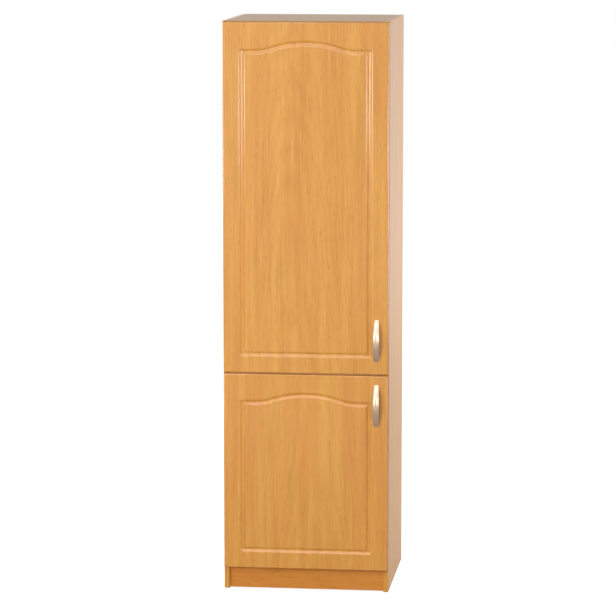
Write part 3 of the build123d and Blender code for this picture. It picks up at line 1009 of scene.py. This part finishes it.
@dataclass
class Dresser:
    """Puts finishes, kept by their slot names, on the pieces."""

    finishes: dict[str, bpy.types.Material]

    def paint(self, obj: bpy.types.Object, slot: str) -> None:
        """Put one finish on one piece.

        Args:
            obj: The piece.
            slot: Slot name of the finish.
        """
        obj.data.materials.clear()
        obj.data.materials.append(self.finishes[slot])

    def dress_nodes(self, own: dict[str, str]) -> None:
        """Paint all CAD nodes by the record's slots.

        Args:
            own: Nodes that take another finish than their slot's.
        """
        for subpart in frame["record"]["subparts"]:
            node = subpart["node"]
            self.paint(frame["nodes"][node], own.get(node, subpart["material_slot"]))


@dataclass(frozen=True)
class SoftBox:
    """One rectangular lamp that the camera doesn't see, turned towards a target."""

    name: str
    place: Triple
    target: Triple
    size: tuple[float, float]
    watts: float
    mirrored: bool = True

    def build(self) -> None:
        """Hang the lamp in the scene."""
        data = bpy.data.lights.new(self.name, "AREA")
        data.shape = "RECTANGLE"
        data.size, data.size_y = self.size
        data.energy = self.watts
        lamp = bpy.data.objects.new(self.name, data)
        bpy.context.scene.collection.objects.link(lamp)
        lamp.location = self.place
        lamp.visible_camera = False
        lamp.visible_glossy = self.mirrored
        lamp.rotation_euler = (Vector(self.target) - Vector(self.place)).to_track_quat("-Z", "Y").to_euler()


LAMPS = (
    # Low and wide on either side: bright lines down the grooves
    SoftBox("left", (-2.5, -4.0, 1.48), (0.0, -0.27, 1.6), (2.2, 0.62), 35.0),
    SoftBox("right", (1.75, -4.1, 1.48), (0.0, -0.27, 1.6), (2.2, 0.62), 35.0),
    # From above: the top, and the upper halves of the handles
    SoftBox("top", (0.0, -5.0, 7.6), (0.0, -0.2, 1.0), (8.4, 5.0), 200.0),
    # In front: the lower door and the plinth, kept out of reflections so that the foil stays clear
    SoftBox("front left", (-1.5, -4.2, 1.2), (0.1, -0.25, 0.3), (1.0, 1.4), 36.0, False),
    # In front and higher: the highlight on the handles
    SoftBox("front", (-0.9, -4.2, 3.3), (0.1, -0.25, 0.8), (2.4, 2.4), 34.0),
    # Behind: the side panels and the back
    SoftBox("back left", (-2.8, 2.2, 2.4), (0.0, 0.1, 1.2), (1.8, 1.8), 62.0),
    SoftBox("back right", (2.7, 1.5, 1.25), (0.0, 0.1, 0.65), (1.4, 1.6), 52.0),
)


@dataclass
class Studio:
    """White floor and surroundings, soft boxes in front and behind, and the camera of the photograph."""

    camera_place: Triple = (1.271, -10.859, 2.570)
    yaw: float = 0.1186
    pitch: float = 0.1421
    focal_pixels: float = 3000.0
    sensor_mm: float = 36.0
    world_level: float = 0.11
    floor_half: float = 14.0
    floor_colour: str = "#B4B4B2"
    floor_roughness: float = 0.9
    # Metres from the middle where the floor's glow starts to rise and where it is full, and its level before,
    # as the camera sees it and as reflections do
    floor_seen: Triple = (0.7, 3.0, 0.82)
    floor_mirrored: Triple = (2.5, 9.0, 0.2)

    def build(self) -> None:
        """Make floor, world, lamps and camera."""
        bpy.context.scene.view_settings.view_transform = "Standard"
        self.make_floor()
        self.make_world()
        for lamp in LAMPS:
            lamp.build()
        self.make_camera()

    def make_floor(self) -> None:
        """Large pale floor that shows white and keeps the shadow."""
        bpy.ops.object.select_all(action="DESELECT")
        bpy.ops.mesh.primitive_plane_add(size=2 * self.floor_half)
        floor = bpy.context.object
        floor.name = "studio_floor"
        # Even white round the object, a little greyer close to it
        material, tree, shader = new_material("white seamless paper")
        shader.inputs["Base Color"].default_value = linear(self.floor_colour)
        shader.inputs["Roughness"].default_value = self.floor_roughness
        path = add_node(tree, "ShaderNodeLightPath")
        place = add_node(tree, "ShaderNodeTexCoord")
        away = add_node(tree, "ShaderNodeVectorMath", {0: place.outputs["Object"]}, operation="LENGTH")
        glow = []
        for near, far, low in (self.floor_seen, self.floor_mirrored):
            links = {"Value": away.outputs["Value"], "From Min": near, "From Max": far, "To Min": low}
            glow.append(add_node(tree, "ShaderNodeMapRange", links).outputs["Result"])
        links = {0: path.outputs["Is Glossy Ray"], 1: path.outputs["Is Transmission Ray"]}
        mirrored = add_node(tree, "ShaderNodeMath", links, operation="MAXIMUM")
        links = {0: mirrored.outputs[0], 1: glow[1]}
        dim = add_node(tree, "ShaderNodeMath", links, operation="MULTIPLY")
        links = {"Factor": path.outputs["Is Camera Ray"], 2: dim.outputs[0], 3: glow[0]}
        lift = add_node(tree, "ShaderNodeMix", links)
        shader.inputs["Emission Color"].default_value = (1.0, 1.0, 1.0, 1.0)
        tree.links.new(lift.outputs[0], shader.inputs["Emission Strength"])
        floor.data.materials.append(material)

    def make_world(self) -> None:
        """White surroundings for the eye and for reflections, a plain level of light for the rest."""
        world = bpy.data.worlds.new("studio")
        bpy.context.scene.world = world
        world.use_nodes = True
        tree = world.node_tree
        path = add_node(tree, "ShaderNodeLightPath")
        links = {0: path.outputs["Is Camera Ray"], 1: path.outputs["Is Glossy Ray"]}
        seen = add_node(tree, "ShaderNodeMath", links, operation="MAXIMUM")
        links = {0: seen.outputs[0], 1: path.outputs["Is Transmission Ray"]}
        through = add_node(tree, "ShaderNodeMath", links, operation="MAXIMUM")
        links = {"Value": through.outputs[0], "To Min": self.world_level, "To Max": 1.0}
        level = add_node(tree, "ShaderNodeMapRange", links)
        background = tree.nodes["Background"]
        background.inputs["Color"].default_value = (1.0, 1.0, 1.0, 1.0)
        tree.links.new(level.outputs["Result"], background.inputs["Strength"])

    def make_camera(self) -> None:
        """Camera with the photograph's view."""
        data = bpy.data.cameras.new("camera")
        data.lens = self.focal_pixels / FRAME_PIXELS * self.sensor_mm
        data.sensor_width = self.sensor_mm
        camera = bpy.data.objects.new("camera", data)
        bpy.context.scene.collection.objects.link(camera)
        camera.location = self.camera_place
        camera.rotation_euler = Euler((math.pi / 2 - self.pitch, 0.0, self.yaw), "XYZ")
        bpy.context.scene.camera = camera


def make_finishes() -> dict[str, bpy.types.Material]:
    """Build every finish once.

    Returns:
        Materials by slot name.
    """
    beech = Tones("#E4A445", "#DB983A", "#CD872C", "#DA8D35", "#B46F1E")
    board = Tones("#E6B682", "#DEAC78", "#D29E6A", "#DEA574", "#BD8656")
    # Painted shade: the board's colours made darker and browner for the top panel
    top = Tones("#C89E68", "#C09560", "#B48955", "#C0905C", "#A07545")
    plinth = Tones("#DD9644", "#D78C3A", "#C77D2F", "#D78638", "#AE6C27")
    spruce = Tones("#E3C79A", "#D8B887", "#C5A06C", "#D6B080", "#B08A58")
    satin = {"roughness": 0.4, "specular": 0.4}
    finishes = {
        # Honey-coloured streaks under a clear coat that draws bright lines where the groove turns
        "door_foil": WoodFoil("beech foil, satin", beech, Axis.Z, (-40.0, 0.0, 0.0), coat=0.8),
        # The same foil from another place of the print, so that the doors differ
        "lower_door_foil": WoodFoil("beech foil, satin, lower", beech, Axis.Z, (30.0, 40.0, 930.0), coat=0.8),
        # Paler and pinker than the doors and less shiny, with other colours on its narrow edges
        "carcass_board": WoodFoil("beech melamine, satin", board, Axis.Z, edged=True, **satin),
        # The same board with its grain running across
        "shelf_board": WoodFoil("beech melamine, shelves", board, Axis.X, **satin),
        # Painted shade: the sides' melamine with its colours set darker and browner than the sides, for the
        # way the top looks in slanting light, with its grain running across
        "top_board_shaded": WoodFoil("beech melamine, top, painted shade", top, Axis.X, edged=True, **satin),
        # Deep orange and nearly matt, with its grain lying flat
        "plinth_foil": WoodFoil("beech foil, plinth", plinth, Axis.X, roughness=0.42, specular=0.3),
        # Pale, narrow-ringed and rough from the saw
        "glue_block_wood": WoodFoil(
            "sawn spruce", spruce, Axis.Z, streak_mm=8.0, roughness=0.75, specular=0.2
        ),
        # Plain pale wood without a sheen
        "dowel_wood": PlainFinish("turned beech dowel", "#D9B98C", "#C9A676", 0.7),
        # Smooth cream with a faint mottle of fibres
        "hardboard": PlainFinish("lacquered hardboard", "#E2D3BC", "#D8C7AE", 0.45, grain_mm=(3.0, 3.0, 3.0)),
        # Even off-white with a soft sheen
        "strip_plastic": PlainFinish("extruded polystyrene strip", "#DED6C8", "#D6CEC0", 0.4),
        # Warm, light metal with soft highlights; its brush lines are drawn coarser than real ones
        "satin_nickel": PlainFinish(
            "satin nickel plate", "#D2BCA6", "#C2AC96", 0.34, 1.0, grain_mm=(0.8, 0.8, 30.0), bump=0.03
        ),
        # Bright neutral metal that mirrors the boards round it
        "hinge_steel": PlainFinish("nickel-plated pressed steel", "#C9C9C7", "#B4B4B2", 0.27, 1.0),
        # Bluish metal, slightly clouded
        "plated_steel": PlainFinish("zinc-plated steel", "#BFC2C5", "#A9ACB0", 0.34, 1.0),
        # Dark brown and half matt
        "glide_plastic": PlainFinish("moulded polyethylene", "#4A3728", "#3E2D20", 0.5),
        # Milky white and fairly glossy
        "bumper_rubber": PlainFinish("clear polyurethane pad", "#DADAD4", "#CFCFC8", 0.3),
    }
    return {slot: finish.build() for slot, finish in finishes.items()}


def hinge_fittings() -> list[Pressing]:
    """List the hinge parts and the wall brackets.

    Returns:
        One pressing for each CAD node.
    """
    fittings = [Pressing("wall_brackets", "carcass", "plated_steel")]
    for side, count in (("upper", 3), ("lower", 2)):
        bodies = {"plate": "carcass", "arm": "carcass", "link": f"{side}_hinge_links", "cup": f"{side}_door"}
        for number in range(1, count + 1):
            for part, body in bodies.items():
                fittings.append(Pressing(f"{side}_hinge_{part}_{number}", body, "hinge_steel"))
    return fittings


def screw_sets() -> list[PanScrews]:
    """List the sets of screws and the way their heads face.

    Returns:
        One set for each CAD node.
    """
    sets = [
        PanScrews("wall_bracket_screws", "carcass", (0, 0, -1)),
        PanScrews("hinge_plate_screws", "carcass", (1, 0, 0)),
        PanScrews("hinge_arm_screws", "carcass", (1, 0, 0)),
    ]
    for side in ("upper", "lower"):
        for kind in ("cup", "handle"):
            sets.append(PanScrews(f"{side}_{kind}_screws", f"{side}_door", (0, 1, 0)))
    return sets


def main() -> None:
    """Build the cabinet's pieces, dress them, and set the studio."""
    logging.basicConfig(level=logging.INFO, format="%(message)s")
    dresser = Dresser(make_finishes())
    shelves = ["bottom_panel", "middle_shelf", "lower_shelf"] + [f"upper_shelf_{n}" for n in range(1, 5)]
    # The top panel takes the board with painted shade, darker and browner than the sides
    dresser.dress_nodes({**{node: "shelf_board" for node in shelves}, "top_panel": "top_board_shaded"})
    upper_cups = tuple(f"upper_hinge_cup_{n}" for n in (1, 2, 3))
    lower_cups = tuple(f"lower_hinge_cup_{n}" for n in (1, 2))
    makers: list[tuple[Door | BowHandle | Pressing | PanScrews, str]] = [
        (Door("upper_door_panel", "upper_door", upper_cups), "door_foil"),
        (Door("lower_door_panel", "lower_door", lower_cups), "lower_door_foil"),
        (BowHandle("upper_handle", "upper_door"), "satin_nickel"),
        (BowHandle("lower_handle", "lower_door"), "satin_nickel"),
    ]
    makers += [(fitting, fitting.slot) for fitting in hinge_fittings()]
    makers += [(screws, "plated_steel") for screws in screw_sets()]
    for maker, slot in makers:
        piece = maker.build()
        dresser.paint(piece, slot)
        LOG.info("%s: %d faces", piece.name, len(piece.data.polygons))
    Studio().build()


if __name__ == "__main__":
    main()
